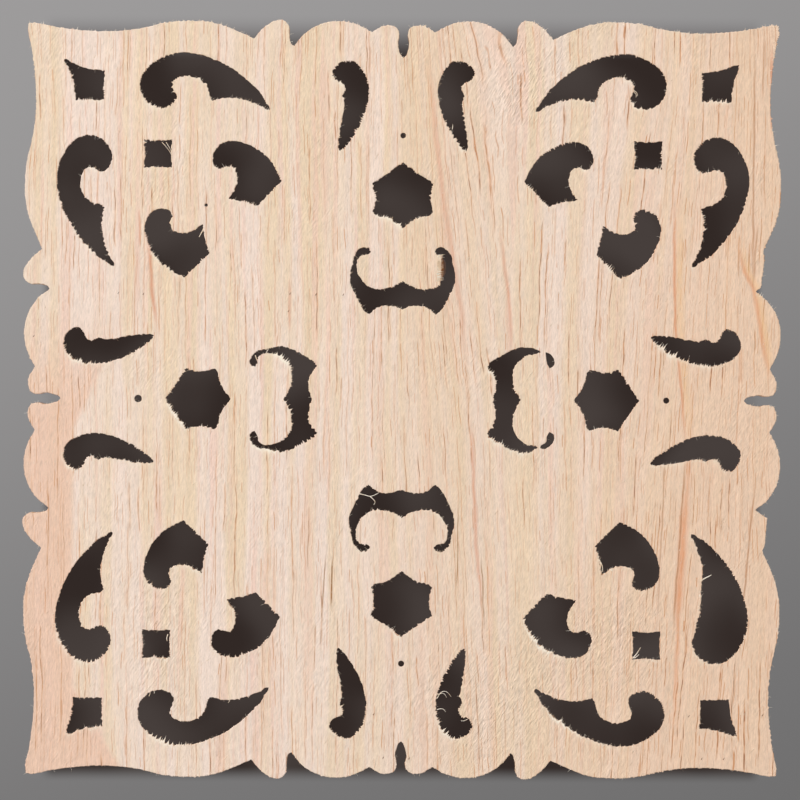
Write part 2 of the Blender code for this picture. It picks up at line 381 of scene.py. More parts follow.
def smooth_through(guides):
    """Fine points of a smooth curve through the guides between the first and last."""
    before, start, end, after = (guides[i:len(guides) - 3 + i, None] for i in range(4))
    gaps = [
        np.sqrt(np.linalg.norm((b - a)[..., :2], axis=-1, keepdims=True))
        for a, b in ((before, start), (start, end), (end, after))
    ]
    knots = [np.zeros_like(gaps[0])]
    for gap in gaps:
        knots.append(knots[-1] + gap)
    at = knots[1] + (knots[2] - knots[1]) * CURVE_SHARES[None, :, None]

    def blend(a, b, low, high):
        return a + (b - a) * (at - knots[low]) / (knots[high] - knots[low])

    leading = blend(before, start, 0, 1)
    middle = blend(start, end, 1, 2)
    trailing = blend(end, after, 2, 3)
    curve = blend(blend(leading, middle, 0, 2), blend(middle, trailing, 1, 3), 1, 2)
    return np.concatenate([curve.reshape(-1, guides.shape[1]), guides[-2:-1]])


def even_steps(curve):
    """Evenly spaced points along a curve, an even count of them, and how far each
    stands from the nearer end of the curve. The end itself is left out."""
    lengths = np.linalg.norm(np.diff(curve[:, :2], axis=0), axis=1)
    along = np.concatenate([[0.0], np.cumsum(lengths)])
    count = 2 * max(1, math.ceil(along[-1] / STEP / 2))
    at = np.linspace(0.0, along[-1], count, endpoint=False)
    points = np.stack([np.interp(at, along, column) for column in curve.T], axis=1)
    return points, np.minimum(at, along[-1] - at)


def fine_ring(ring):
    """The ring as finely sawn, smooth between its corners, which stay sharp, and how far
    each of its points stands from the nearest corner."""
    ahead = np.roll(ring, -1, axis=0) - ring
    angle = np.arctan2(ahead[:, 1], ahead[:, 0])
    turn = np.abs(np.angle(np.exp(1j * (angle - np.roll(angle, 1)))))
    corners = np.flatnonzero(turn > CORNER_TURN)
    if len(corners) == 0:
        points, away = even_steps(smooth_through(np.concatenate([ring[-1:], ring, ring[:2]])))
        return points, np.full(len(points), FAR_FROM_CORNER)
    ring = np.roll(ring, -corners[0], axis=0)
    corners = [*(corners - corners[0]), len(ring)]
    ring = np.concatenate([ring, ring[:1]])
    runs = []
    for first, last in zip(corners, corners[1:]):
        run = ring[first:last + 1]
        lead_in = 2.0 * run[:1] - run[1:2]
        lead_out = 2.0 * run[-1:] - run[-2:-1]
        runs.append(even_steps(smooth_through(np.concatenate([lead_in, run, lead_out]))))
    return [np.concatenate(parts) for parts in zip(*runs)]


def gentle(points, across, along, seed):
    """Smooth noise at each point of the face, stretched along the grain."""
    return np.array([noise.noise(Vector((x / across, z / along, seed))) for x, z in points])


class SawnRing:
    """One outline of the panel: its fine points, the way to the air at each of them
    and how frayed the wood is there."""

    def __init__(self, ring, row):
        self.points, away = fine_ring(ring)
        chip_shaded = self.points[:, 2:] - self.points[:, :2]
        nearby = [np.roll(chip_shaded, i, axis=0) for i in range(-CHIP_BLUR, CHIP_BLUR + 1)]
        self.points[:, 2:] = self.points[:, :2] + np.mean(nearby, axis=0)
        self.row = row
        self.outer = np.abs(self.points[:, :2]).max() > OUTLINE_BEYOND
        ahead = np.roll(self.points[:, :2], -1, axis=0) - np.roll(self.points[:, :2], 1, axis=0)
        lengths = np.linalg.norm(ahead, axis=1)
        self.along = np.cumsum(lengths / 2)
        self.length = self.along[-1]
        self.air = np.stack([ahead[:, 1], -ahead[:, 0]], axis=1) / lengths[:, None]
        self.ease = np.clip(CORNER_CALM + away / CORNER_REACH, CORNER_CALM, 1.0)
        patchy = PATCH_MEAN + PATCH_SWING * gentle(self.points[:, :2], *PATCH_SIZE, seed=5.3)
        patchy = np.clip(patchy, *PATCH_LIMITS)
        self.fray = np.clip(self.air @ FRAYED_WAY, 0.0, 1.0) ** FRAY_POWER * patchy
        self.bite = np.hypot(SERRATION * patchy[::-1], FRAY_REACH * self.fray)
        calm = min(1.0, self.length / SMALL_RING) ** 2 * (OUTER_FRAY if self.outer else 1.0)
        self.fray *= calm
        self.bite *= calm
        self.chip = np.abs(self.points[:, 2] - self.points[:, 0])
        self.wander = KERF_WANDER * gentle(self.points[:, :2], *WANDER_SIZE, seed=3.1)
        self.body = np.full(len(self.points), ROOM_SEARCH)
        self.gap = np.full(len(self.points), ROOM_SEARCH)

    def teeth(self, row):
        """How far the broken fibres stand out along the ring, about 0 on average."""
        height = -TOOTH_MEAN
        for width, share in TOOTH_WIDTHS:
            cell = self.along / width
            index = np.floor(cell).astype(int)
            peak = 1.0 - np.abs(2.0 * (cell - index) - 1.0)
            picked = (index * TOOTH_STRIDE + row * RING_STRIDE) % TOOTH_TABLE
            height = height + share * peak * tooth_heights[picked]
        return height

    def at(self, depth, inset, tear, row):
        """The ring at one depth of the board, as (x, z) rows."""
        share = depth / FRONT_DEPTH
        flat = self.points[:, :2] + (self.points[:, 2:] - self.points[:, :2]) * share
        reach = np.minimum(self.bite * self.ease, 0.5 * np.minimum(self.gap, self.body)) * tear
        way = self.air + FRAY_LEAN * self.fray[:, None] * FRAYED_WAY
        draft = 0.0 if self.outer else np.minimum(BLADE_DRAFT, DRAFT_SHARE * self.body) * (1.0 - share)
        flat = flat + way * (reach * self.teeth(row))[:, None]
        narrow = np.minimum(self.gap, np.minimum(np.roll(self.gap, 1), np.roll(self.gap, -1)))
        kerf = np.maximum(KERF - narrow, 0.0) / 2
        flat = flat + self.air * (self.wander - inset * self.ease - draft - kerf)[:, None]
        flat[:, 0] = np.clip(flat[:, 0], cad_low.x / MM, cad_high.x / MM)
        flat[:, 1] = np.clip(flat[:, 1], cad_low.z / MM, cad_high.z / MM)
        return flat


def measure_room(rings):
    """Find how wide the wood is at each point of the rings, and how wide the air is. A
    neighbour on the same ring counts only where the ring has turned back on itself."""
    owners = [(ring, i) for ring in rings for i in range(len(ring.points))]
    tree = kdtree.KDTree(len(owners))
    for number, (ring, i) in enumerate(owners):
        tree.insert((*ring.points[i, :2], 0.0), number)
    tree.balance()
    for ring, i in owners:
        for _, number, away in tree.find_range((*ring.points[i, :2], 0.0), ROOM_SEARCH):
            other, j = owners[number]
            apart = abs(ring.along[i] - ring.along[j]) if other is ring else math.inf
            if away < 0.5 * min(apart, abs(ring.length - apart)):
                across_air = np.dot(other.points[j, :2] - ring.points[i, :2], ring.air[i]) > 0.0
                width = ring.gap if across_air else ring.body
                width[i] = min(width[i], away)
    return tree, owners


def inner_points(outlines, spacing, clear):
    """Points spread over the wood between the outlines, closer across the grain."""
    starts = np.concatenate(outlines)
    ends = np.concatenate([np.roll(outline, -1, axis=0) for outline in outlines])
    tree = kdtree.KDTree(len(starts))
    for i, (x, z) in enumerate(starts):
        tree.insert((x, z, 0.0), i)
    tree.balance()
    found = []
    low, high = starts.min(axis=0), starts.max(axis=0)
    for column, x in enumerate(np.arange(low[0], high[0], spacing[0])):
        crossing = (starts[:, 0] <= x) != (ends[:, 0] <= x)
        a, b = starts[crossing], ends[crossing]
        edges = np.sort(a[:, 1] + (x - a[:, 0]) / (b[:, 0] - a[:, 0]) * (b[:, 1] - a[:, 1]))
        heights = np.arange(low[1] + (column % 2) * spacing[1] / 2, high[1], spacing[1])
        heights = heights + chance.uniform(-GRID_SHAKE, GRID_SHAKE, len(heights)) * spacing[1]
        inside = np.searchsorted(edges, heights) % 2 == 1
        for z in heights[inside]:
            if tree.find((x, z, 0.0))[2] > clear:
                found.append((x, z))
    return np.array(found)


def in_wood(points, outlines):
    """Whether each point lies in the wood, by how many outline edges are to its right."""
    x, z = points.T
    wooded = np.zeros(len(points), bool)
    for outline in outlines:
        for start, end in zip(outline, np.roll(outline, -1, axis=0)):
            spans = (start[1] <= z) != (end[1] <= z)
            slope = (end[0] - start[0]) / (end[1] - start[1] or 1.0)
            wooded ^= spans & (x < start[0] + (z - start[1]) * slope)
    return wooded


def filled(outlines, inside, stretch):
    """Triangles that fill the wood between the outlines through the inner points."""
    coords = []
    edges = []
    for outline in outlines:
        first = len(coords)
        coords += [Vector((x, z / stretch)) for x, z in outline]
        edges += [(first + i, first + (i + 1) % len(outline)) for i in range(len(outline))]
    on_outlines = len(coords)
    coords += [Vector((x, z / stretch)) for x, z in inside]
    _, _, faces, originals, _, _ = geometry.delaunay_2d_cdt(coords, edges, [], 1, CLOSE_POINTS)
    index = np.array([found[0] if found else -1 for found in originals])
    triangles = index[np.array(faces)]
    triangles = triangles[(triangles >= 0).all(axis=1)]
    flat = np.array(coords) * (1.0, stretch)
    doubtful = (triangles < on_outlines).all(axis=1)
    kept = ~doubtful
    kept[doubtful] = in_wood(flat[triangles[doubtful]].mean(axis=1), outlines)
    return triangles[kept]


cad_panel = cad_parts["pierced_panel"]
board = bmesh.new()
board.from_mesh(cad_panel.data)
bmesh.ops.remove_doubles(board, verts=board.verts[:], dist=MERGE_WITHIN)
board.verts.index_update()
rings = [SawnRing(ring, row) for row, ring in enumerate(wood_rings(board))]
board.free()
edge_tree, edge_owners = measure_room(rings)

verts = []
faces = []
rim_pale_and_highlight = []
wall = []
chip = []


def add_level(levels, depth, shine, walled):
    """Add every ring's points at one depth. The levels hold (x, z) rows for each ring."""
    starts = []
    for ring, flat in zip(rings, levels):
        starts.append(len(verts))
        step = len(ring.points) // len(flat)
        verts.extend((x * MM, depth * MM, z * MM) for x, z in flat)
        # The rim is pale from its torn fibres and lighter still with painted highlight, most on frayed
        # stretches.
        rim_pale_and_highlight.extend(shine * (RIM_BASE + (1.0 - RIM_BASE) * ring.fray[::step]))
        wall.extend([walled] * len(flat))
        chip.extend(ring.chip[::step] * (walled > 0.5))
    return starts


def band(front_starts, back_starts, counts):
    """Quads between two levels with the same number of points in each ring."""
    for front, back, count in zip(front_starts, back_starts, counts):
        for i in range(count):
            j = (i + 1) % count
            faces.append((front + i, back + i, back + j, front + j))


fine_counts = [len(ring.points) for ring in rings]
coarse_counts = [count // 2 for count in fine_counts]
fine_levels = []
for depth, inset, shine, walled in FRONT_RINGS:
    flats = [ring.at(depth, inset, 1.0, ring.row) for ring in rings]
    fine_levels.append((add_level(flats, depth, shine, walled), flats))
coarse_levels = []
for layer, (depth, inset, tear) in enumerate(WALL_RINGS):
    last = layer == len(WALL_RINGS) - 1
    row_shift = LEVEL_STRIDE * min(layer, SAME_BELOW)
    flats = [ring.at(depth, inset, tear, ring.row + row_shift)[::2] for ring in rings]
    shine = BACK_RIM if last else 0.0
    coarse_levels.append((add_level(flats, depth, shine, 0.0 if last else 1.0), flats))

for (front_starts, _), (back_starts, _) in zip(fine_levels, fine_levels[1:]):
    band(front_starts, back_starts, fine_counts)
for fine, coarse, count in zip(fine_levels[-1][0], coarse_levels[0][0], coarse_counts):
    for i in range(count):
        j = (i + 1) % count
        a, m, b = fine + 2 * i, fine + 2 * i + 1, fine + 2 * j
        faces += [(a, coarse + i, m), (m, coarse + i, coarse + j), (m, coarse + j, b)]
for (front_starts, _), (back_starts, _) in zip(coarse_levels, coarse_levels[1:]):
    band(front_starts, back_starts, coarse_counts)


def add_face(level, counts, depth, grid, clear, relief, flip):
    """Fill one face of the board from its ring level, with its low relief."""
    starts, flats = level
    inside = inner_points(flats, grid, clear)
    lookup = [start + i for start, count in zip(starts, counts) for i in range(count)]
    lookup += range(len(verts), len(verts) + len(inside))
    waves = 0.5
    for across, along, seed, share in RELIEF_WAVES:
        waves = waves + share * gentle(inside, across, along, seed)
    for (x, z), y in zip(inside, depth + relief * waves):
        verts.append((x * MM, min(max(y, FRONT_DEPTH), 0.0) * MM, z * MM))
        rim_pale_and_highlight.append(0.0)
        wall.append(0.0)
        chip.append(0.0)
    for triangle in filled(flats, inside, grid[1] / grid[0]):
        corners = tuple(lookup[i] for i in triangle)
        faces.append(corners[::-1] if flip else corners)
    return inside


face_points = add_face(fine_levels[0], fine_counts, FACE_LEVEL, FACE_GRID, FACE_CLEAR, FACE_RELIEF, False)
add_face(coarse_levels[-1], coarse_counts, 0.0, BACK_GRID, BACK_CLEAR, -BACK_RELIEF, True)

panel_mesh = bpy.data.meshes.new("sawn_panel")
panel_mesh.from_pydata(verts, [], faces)
for name, values in (("rim_pale_and_highlight", rim_pale_and_highlight), ("wall", wall), ("chip", chip)):
    panel_mesh.attributes.new(name, "FLOAT", "POINT").data.foreach_set("value", values)
panel_mesh.shade_smooth()
panel_mesh.set_sharp_from_angle(angle=SHARP_EDGE)

CREAM = paint(236, 215, 200)
STRAW = paint(231, 207, 178)
PINK = paint(233, 197, 179)
WARM = paint(230, 197, 169)
TAN = paint(227, 197, 168)
HEART = paint(230, 193, 170)
PORE = paint(206, 148, 106)
DARK_PORE = paint(154, 102, 68)
PORE_HALO = paint(235, 197, 166)
RED_STREAK = paint(212, 142, 110)
BROWN_STREAK = paint(180, 124, 84)
OLIVE_LINE = paint(152, 98, 34)
ORANGE_LINE = paint(216, 144, 104)
ORANGE_TINT = paint(234, 190, 142)
STAIN = paint(222, 154, 112)
# The pale rim's colour: torn fibre with painted highlight.
PALE_EDGE_AND_HIGHLIGHT = paint(248, 236, 218)
SAWN_WALL = paint(196, 156, 118)
# The chip's slope: a brown that is partly the torn wood's own colour and partly painted shade, and the
# painted shade deeper in.
CHIP_BROWN_PART_SHADE = paint(196, 146, 98)
CHIP_SHADE = paint(104, 72, 48)

# Sizes of the patterns of the wood in millimetres: across the grain, into the board and
# up it. The finest ones are the strands and the fuzz.
SWAY_SIZE = (14.0, 14.0, 30.0)
QUIVER_SIZE = (1.8, 1.8, 3.6)
BAND_SIZE = (2.6, 7.0, 80.0)
BLUSH_SIZE = (0.9, 4.0, 34.0)
STRAND_SIZE = (0.18, 0.18, 1.1)
FUZZ_SIZE = (0.25, 0.25, 0.95)
FILLET_SIZE = (0.55, 2.0, 26.0)
TORN_SIZE = (7.0, 7.0, 9.0)
DASH_SIZE = (1.2, 3.0, 1.6)
GRAIN_SWAY = 1.6
GRAIN_QUIVER = 0.5
STREAK_QUIVER = 0.4
FUZZ_SLANT = 0.6

# How the grain leans, above and below the middle: (x of the stretch, its half width and
# how far it leans for each millimetre of height).
LEANS_ABOVE = ((7.0, 6.5, 0.11), (34.0, 9.0, -0.08))
LEANS_BELOW = ((9.0, 8.0, 0.05), (36.0, 9.0, -0.08))

# Where the bands of colour lie, and how strong each is.
BAND_RANGE = (0.36, 0.66)
BLUSH_SHIFT = 36.0
BLUSH_RANGE = (0.54, 0.74)
BLUSH_STRENGTH = 0.6
WARM_TILT = 0.15
WARM_RANGE = (10.0, 46.0)
WARM_STRENGTH = 0.85
TAN_BAND = (5.5, 8.0)
TAN_STRENGTH = 0.42
HEART_LINE = -43.4
HEART_TURNS = ((-4.0, 0.5), (-38.0, -0.62))
HEART_SWAY = 2.2
HEART_BLUR = 0.6
HEART_TOP = (-4.0, 14.0)
HEART_STRENGTH = 0.85

# How far each fine pattern lightens and darkens the wood, and how high it stands.
STRAND_TONE = 0.46
FUZZ_TONE = 0.14
TORN_TONE = 0.4
FILLET_TONE = 0.22
TORN_RANGE = (0.5, 0.75)
TORN_BASE = 0.5
STRAND_RELIEF = 0.05
FUZZ_RELIEF = 0.03
TORN_RELIEF = 0.11

# Pores: how far apart across and along the grain, and how thick. The wood at the right
# has more of them. A halo of stain goes out to a few times their thickness.
BROAD_PORES = (0.8, 18.0, 0.085)
FINE_PORES = (0.5, 6.0, 0.065)
FINE_SHIFT = 31.7
PORE_FLATNESS = 0.12
PORE_WIDTHS = (0.55, 0.7)
PORE_LENGTHS = (0.12, 0.38)
PORE_EDGE = (1.0, 0.4)
PORE_END = (1.0, 0.65)
HALO_REACH = 3.5
HALO_STRENGTH = 0.4
DASH_RANGE = (0.36, 0.6)
MORE_PORES = (0.85, 0.3)
MORE_PORES_RANGE = (22.0, 40.0)
BROAD_RANGE = (0.05, 0.75)
DARK_RANGE = (0.4, 1.0)
STREAK_EDGE = 1.7
STREAK_FADE = 0.45
STREAK_PATCH = (0.2, 1.5)

# Edges: how strong the pale rim is, pale torn fibre with painted highlight, how strong the sawn wall is, and
# at which depths the chip darkens into painted shade.
RIM_POWER = 3.0
RIM_STRENGTH = 0.7
WALL_STRENGTH = 0.75
CHIP_RANGE = (0.0, 0.3)
CHIP_SHADE_DEPTHS = (-4.2, -0.8)
WOOD_ROUGHNESS = (0.72, 0.2)
WOOD_SHEEN = 0.3

# Patches of the face where the fibres stand up: (x, z) of the middle, half width and
# half height in millimetres.
FUZZY_PATCHES = (
    (16.5, 42.0, 8.0, 7.0),
    (12.0, -40.0, 10.0, 9.0),
    (27.0, -32.0, 8.0, 7.0),
    (-32.0, -31.0, 4.0, 8.0),
)

# Coloured streaks of the face: a route of (x, z) points downwards in millimetres, the
# width, how strong it is and its colour.
STREAKS = (
    (((-33.5, 24.0), (-33.05, 14.6), (-32.3, 8.6)), 0.26, 0.75, RED_STREAK),
    (((-34.9, 39.4), (-34.8, 9.1)), 0.3, 0.5, PINK),
    (((-34.7, 25.4), (-34.6, 19.4)), 0.14, 0.6, RED_STREAK),
    (((36.2, 29.6), (36.5, 10.0), (37.6, -2.0), (38.4, -9.0)), 0.6, 0.5, ORANGE_TINT),
    (((35.6, 29.6), (35.9, 10.0), (37.0, -2.0), (37.8, -9.0)), 0.17, 0.75, ORANGE_LINE),
    (((-12.2, -16.5), (-12.4, -23.0)), 0.08, 0.85, OLIVE_LINE),
    (((-9.0, -20.2), (-9.2, -28.0)), 0.1, 0.95, OLIVE_LINE),
    (((-9.9, -20.0), (-10.6, -29.0)), 0.08, 0.85, OLIVE_LINE),
    (((7.5, -13.0), (7.2, -26.0)), 0.08, 0.7, OLIVE_LINE),
    (((10.5, -20.0), (10.9, -30.5)), 0.08, 0.75, OLIVE_LINE),
    (((37.9, -2.0), (37.7, -8.9), (36.5, -26.2), (35.8, -47.0)), 0.3, 0.55, STAIN),
    (((37.3, -12.0), (36.7, -24.0), (36.2, -30.0)), 0.6, 0.55, STAIN),
    (((37.5, -5.0), (36.3, -22.5), (35.6, -33.0)), 0.13, 0.8, BROWN_STREAK),
    (((34.8, -3.0), (33.6, -31.0)), 0.1, 0.6, BROWN_STREAK),
    (((46.6, -9.0), (44.6, -31.0)), 0.12, 0.7, BROWN_STREAK),
    (((43.9, 22.6), (45.4, 17.0), (46.5, 14.9), (47.1, 11.7), (49.0, 1.6)), 0.55, 0.6, ORANGE_TINT),
    (((43.7, 22.6), (45.0, 17.0), (46.1, 14.9), (46.7, 11.7), (48.6, 1.6)), 0.3, 0.55, ORANGE_LINE),
    (((46.2, 49.4), (46.1, 12.0)), 0.13, 0.65, BROWN_STREAK),
    (((47.4, 49.2), (47.3, 39.0)), 0.12, 0.6, BROWN_STREAK),
    (((48.5, 47.4), (48.4, 34.0)), 0.16, 0.75, RED_STREAK),
    (((46.7, 23.9), (46.2, 15.0)), 0.14, 0.6, BROWN_STREAK),
    (((2.8, 49.4), (3.7, 40.7), (5.0, 28.8), (7.7, 11.7), (8.8, 0.4)), 0.38, 0.42, RED_STREAK),
    (((12.6, 24.0), (14.2, 11.2), (14.4, 4.6)), 0.22, 0.5, RED_STREAK),
    (((9.0, -1.0), (9.8, -18.9), (10.8, -29.0)), 0.24, 0.55, RED_STREAK),
    (((-10.2, 49.4), (-10.2, 18.6)), 0.5, 0.5, PINK),
    (((-14.8, 16.4), (-14.9, 8.4)), 0.2, 0.45, RED_STREAK),
    (((-12.7, -5.2), (-12.1, -44.7)), 0.7, 0.4, PINK),
)


def spread_noise(start, place, size, detail=2.0, roughness=0.5):
    """Noise from 0 to 1 at a place of (x, y, z), as coarse as its size along each."""
    stretched = {axis: way / length for axis, (way, length) in enumerate(zip(place, size))}
    point = start.node("ShaderNodeCombineXYZ", {}, stretched)
    inputs = {"Vector": point, "Scale": 1.0, "Detail": detail, "Roughness": roughness}
    return start.node("ShaderNodeTexNoise", {}, inputs)


def pores(grain, depth, height, across, along, radius):
    """Open pores, cut lengthwise: how deep in one each point is, how much it is stained
    by one and the pore's own chance. Each is a thin flat tube that runs up the board."""
    spread = {0: grain / across, 1: depth / across, 2: height / along}
    place = grain.node("ShaderNodeCombineXYZ", {}, spread)
    cell = place.node("ShaderNodeTexVoronoi", {}, {"Vector": place, "Scale": 1.0}, "Position")
    away = cell.vector("SUBTRACT", {1: place})
    distance = away.vector("MULTIPLY", {1: (across, PORE_FLATNESS * across, 0.0)}).vector("LENGTH", {}, 1)
    luck = cell.node("ShaderNodeSeparateColor", {}, {0: cell.also("Color")})
    width = radius * (PORE_WIDTHS[0] + PORE_WIDTHS[1] * luck)
    reach = PORE_LENGTHS[0] + PORE_LENGTHS[1] * luck.also(2)
    up = away.node("ShaderNodeSeparateXYZ", {}, {0: away}, 2)
    end = (up.math("ABSOLUTE") / reach).rise(*PORE_END)
    inside = (distance / width).rise(*PORE_EDGE) * end
    return inside, distance.rise(HALO_REACH * radius, 0.0) * end, luck.also(1)


def streak(x, z, route, width):
    """How much of a coloured streak lies at each point, fading at its ends."""
    centre, top = route[0]
    bottom = route[-1][1]
    for (x1, z1), (x2, z2) in zip(route, route[1:]):
        centre = (z1 - z.lowest(z1).highest(z2)) * ((x2 - x1) / (z1 - z2)) + centre
    half = (top - bottom) / 2
    beside = (x - centre).math("ABSOLUTE").rise(STREAK_EDGE * width, 0.0)
    return beside * (z - (top + bottom) / 2).math("ABSOLUTE").rise(half, STREAK_FADE * half)


def wood_ground(x, y, z, grain, sway):
    """The bare wood's colour without its fibres and pores: bands and broad stains."""
    band = spread_noise(x, (grain, y, z), BAND_SIZE, 2.0, 0.6)
    colour = band.rise(*BAND_RANGE).choose(CREAM, STRAW)
    blush = spread_noise(x, (grain + BLUSH_SHIFT, y, z), BLUSH_SIZE, 1.0)
    colour = (blush.rise(*BLUSH_RANGE) * BLUSH_STRENGTH).choose(colour, PINK)
    warm = (x - WARM_TILT * z).rise(*WARM_RANGE)
    colour = (warm * WARM_STRENGTH).choose(colour, WARM)
    colour = (x.bell(*TAN_BAND) * TAN_STRENGTH).choose(colour, TAN)
    (upper, upper_slope), (lower, lower_slope) = HEART_TURNS
    heart_line = HEART_LINE + upper_slope * (z - upper).highest(0.0) + lower_slope * (z - lower).lowest(0.0)
    left = 1.0 - (x + HEART_SWAY * sway - heart_line).rise(-HEART_BLUR, HEART_BLUR)
    heart = left * (1.0 - z.rise(*HEART_TOP))
    return (heart * HEART_STRENGTH).choose(colour, HEART)


def with_pores(colour, x, y, z, grain):
    """The colour with the open pores of the wood cut into it, broad and fine ones."""
    broad, stain, broad_luck = pores(grain, y, z, *BROAD_PORES)
    fine, _, fine_luck = pores(grain + FINE_SHIFT, y, z, *FINE_PORES)
    dashes = spread_noise(x, (grain, y, z), DASH_SIZE, 1.0).rise(*DASH_RANGE)
    often = MORE_PORES[0] + MORE_PORES[1] * x.rise(*MORE_PORES_RANGE)
    colour = (stain * broad_luck * HALO_STRENGTH).choose(colour, PORE_HALO)
    pore_tone = (dashes * broad_luck.rise(*DARK_RANGE)).choose(PORE, DARK_PORE)
    broad = broad * (broad_luck.rise(*BROAD_RANGE) * (0.5 + 0.5 * dashes) * often)
    colour = broad.lowest(1.0).choose(colour, pore_tone)
    return (fine * (fine_luck * often)).lowest(1.0).choose(colour, PORE)


def wood_finish(name):
    """Unfinished rubberwood: bands, pores and fibres that run through the board."""
    material, shader, start = new_material(name)
    x = start.node("ShaderNodeSeparateXYZ", {}, {0: start.vector("SCALE", {"Scale": 1.0 / MM})})
    y = x.also(1)
    z = x.also(2)
    sway = spread_noise(start, (x, y, z), SWAY_SIZE, 1.0) - 0.5
    quiver = spread_noise(start, (x, y, z), QUIVER_SIZE, 1.0, 0.6) - 0.5
    grain = x + GRAIN_SWAY * sway + GRAIN_QUIVER * quiver
    for height, leans in ((z.highest(0.0), LEANS_ABOVE), (z.lowest(0.0), LEANS_BELOW)):
        for centre, width, slope in leans:
            grain = grain + slope * height * x.bell(centre, width)

    strand = spread_noise(start, (x, y, z), STRAND_SIZE, 2.0, 0.7)
    slanted = (x - FUZZ_SLANT * z, y, z + FUZZ_SLANT * x)
    fuzz = spread_noise(start, slanted, FUZZ_SIZE, 1.0, 0.6)
    fillet = spread_noise(start, (grain, y, z), FILLET_SIZE, 2.0, 0.6)
    torn = spread_noise(start, (x, y, z), TORN_SIZE, 1.0).rise(*TORN_RANGE) * TORN_BASE
    for centre, height, width, length in FUZZY_PATCHES:
        torn = torn + x.bell(centre, width) * z.bell(height, length)
    value = 1.0 + STRAND_TONE * (strand - 0.5) + FILLET_TONE * (fillet - 0.5)
    value = value + (FUZZ_TONE + TORN_TONE * torn) * (fuzz - 0.5)
    colour = wood_ground(x, y, z, grain, sway).vector("SCALE", {"Scale": value})
    colour = with_pores(colour, x, y, z, grain)

    wavy = x + STREAK_QUIVER * quiver
    patch = STREAK_PATCH[0] + STREAK_PATCH[1] * strand
    for route, width, strength, tone in STREAKS:
        colour = (streak(wavy, z, route, width) * patch * strength).choose(colour, tone)

    # The sawn edges: a pale rim of torn fibre with painted highlight, the sawn wall, and the chip with
    # painted shade deeper in.
    rim_pale_and_highlight_share, wall_share, chip_share = (
        start.node("ShaderNodeAttribute", {"attribute_name": attribute}, {}, "Fac")
        for attribute in ("rim_pale_and_highlight", "wall", "chip")
    )
    colour = (rim_pale_and_highlight_share.math("POWER", RIM_POWER) * RIM_STRENGTH).choose(colour, PALE_EDGE_AND_HIGHLIGHT)
    colour = (wall_share * WALL_STRENGTH).choose(colour, SAWN_WALL)
    # Painted shade: the chip's slope darkens towards the back of the board.
    chip_shaded = y.rise(*CHIP_SHADE_DEPTHS).choose(CHIP_BROWN_PART_SHADE, CHIP_SHADE)
    colour = chip_share.rise(*CHIP_RANGE).choose(colour, chip_shaded)
    colour.to(shader, "Base Color")

    height = STRAND_RELIEF * strand + (FUZZ_RELIEF + TORN_RELIEF * torn) * fuzz
    bump = start.node("ShaderNodeBump", {}, {"Strength": 1.0, "Distance": MM, "Height": height})
    bump.to(shader, "Normal")
    (WOOD_ROUGHNESS[0] + WOOD_ROUGHNESS[1] * fuzz).to(shader, "Roughness")
    shader.inputs["Specular IOR Level"].default_value = WOOD_SHEEN
    return material


def add_piece(name, mesh, finish):
    """Put a finished mesh into the scene as a wooden piece of the one body."""
    mesh.materials.clear()
    mesh.materials.append(finish)
    piece = bpy.data.objects.new(name, mesh)
    bpy.context.collection.objects.link(piece)
    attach(piece, "root")
    return piece


panel = add_piece("sawn_panel", panel_mesh, wood_finish("rubberwood"))
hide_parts("pierced_panel")


# Torn fibres. The blade leaves whiskers of wood on the edges that it cuts, most of them
# where it crosses the grain and on the edges that look up and to the right. Each is a thin
# curved bristle, rooted in the wood and tapering to nothing, all made by one node tree.
WHISKER_STEPS = 4
WHISKER_SIDES = 3
WHISKER_GIRTH = (0.012, 0.026)
SPLINTER_GIRTH = (0.022, 0.05)
WHISKER_REACH = (0.12, 0.6)
SPLINTER_REACH = (0.06, 0.36)
SPLINTER_ROOT = (0.08, 0.38)
WHISKER_ROOT_SHARE = 0.2
ROOT_IN_WOOD = 0.4
BURIED = 0.6
ON_FACE_CHANCE = 0.55
SKIN = 0.01
SPLINTER_COMBED = 0.5
WHISKER_COMBED = 0.2
WHISKER_STRAY = 1.1
MOSTLY_SHORT = 2.0
MOSTLY_SHALLOW = 2.5
WHISKER_DROOP = 0.08
WHISKER_OFTEN = 0.045
SPLINTER_OFTEN = 0.75
WHISKER_BEND = 0.2
WHISKER_CURL = 1.1
WHISKER_TAPER = 0.8
COMB_FROM = 0.25
COMB_ROOT = 0.55
COMB_REACH = (0.1, 0.4)
COMB_SHAKE = 0.05
COMB_LIFT = -0.02
COMB_LEAN = (0.1, 0.15)
COMB_GIRTH = 0.07
FIBRE_WHITE = paint(250, 240, 224)
FIBRE_TAN = paint(234, 210, 180)
FIBRE_PATCH = 0.9
FIBRE_RANGE = (0.4, 0.65)
FIBRE_ROUGHNESS = (0.8, 0.2)
FIBRE_SHEEN = 0.2


def fibre_finish(name):
    """Bare torn wood fibre, paler than the sawn face and quite dull."""
    material, shader, start = new_material(name)
    place = start.vector("SCALE", {"Scale": 1.0 / MM})
    patch = place.node("ShaderNodeTexNoise", {}, {"Vector": place, "Scale": FIBRE_PATCH, "Detail": 2.0})
    patch.rise(*FIBRE_RANGE).choose(FIBRE_WHITE, FIBRE_TAN).to(shader, "Base Color")
    (FIBRE_ROUGHNESS[0] + FIBRE_ROUGHNESS[1] * patch).to(shader, "Roughness")
    shader.inputs["Specular IOR Level"].default_value = FIBRE_SHEEN
    return material


